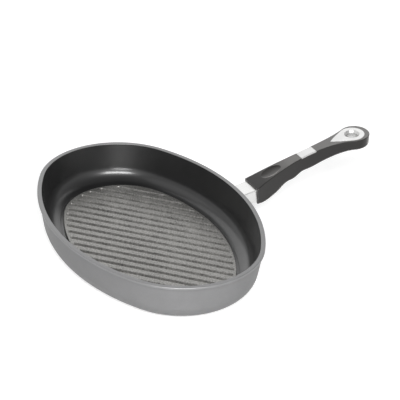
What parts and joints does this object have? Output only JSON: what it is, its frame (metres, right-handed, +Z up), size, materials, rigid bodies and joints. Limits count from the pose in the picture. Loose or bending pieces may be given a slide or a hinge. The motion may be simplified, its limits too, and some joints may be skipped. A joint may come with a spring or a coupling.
{
  "type": "fish grill pan",
  "caption": "Oval cast frying pan with slanted grill ribs on its floor and a long side handle that plugs over a bright metal stub and hangs by an eyelet.",
  "frame": {"origin": "middle of the oval base, on the surface that the pan stands on", "axes": "+X points from the middle of the pan to its handle, +Y runs along the oval, +Z is up"},
  "size_m": [0.4172, 0.35, 0.0939],
  "materials": {
    "cast_aluminium": "dark grey, satin non-stick coat",
    "stub_aluminium": "bright machined",
    "handle_plastic": "satin heat-proof moulding",
    "plate_metal": "fine satin",
    "hanging_metal": "satin",
    "inner_steel": "plain",
    "button_plastic": "satin"
  },
  "bodies": {
    "pan": {"pan_body": "cast_aluminium", "handle_stub": "stub_aluminium", "stub_screws": "inner_steel"},
    "handle": {"handle_shell": "handle_plastic", "label_plate": "plate_metal", "hanging_plate": "hanging_metal", "eyelet_washer": "hanging_metal", "socket_liner": "inner_steel", "liner_screw": "inner_steel", "catch_spring": "inner_steel", "spring_rivet": "inner_steel"},
    "release": {"release_yoke": "inner_steel", "release_button": "button_plastic"}
  },
  "joints": [
    {"name": "handle_slide", "type": "slide", "parent": "pan", "child": "handle", "axis": [0.9903, 0, 0.1392], "range_m": [0, 0.04], "deforming": ["catch_spring"]},
    {"name": "release_press", "type": "slide", "parent": "handle", "child": "release", "axis": [-0.1392, 0, 0.9903], "range_m": [0, 0.0022], "stiffness_N_per_m": 1500, "springref_m": -0.001, "deforming": ["catch_spring"]}
  ]
}
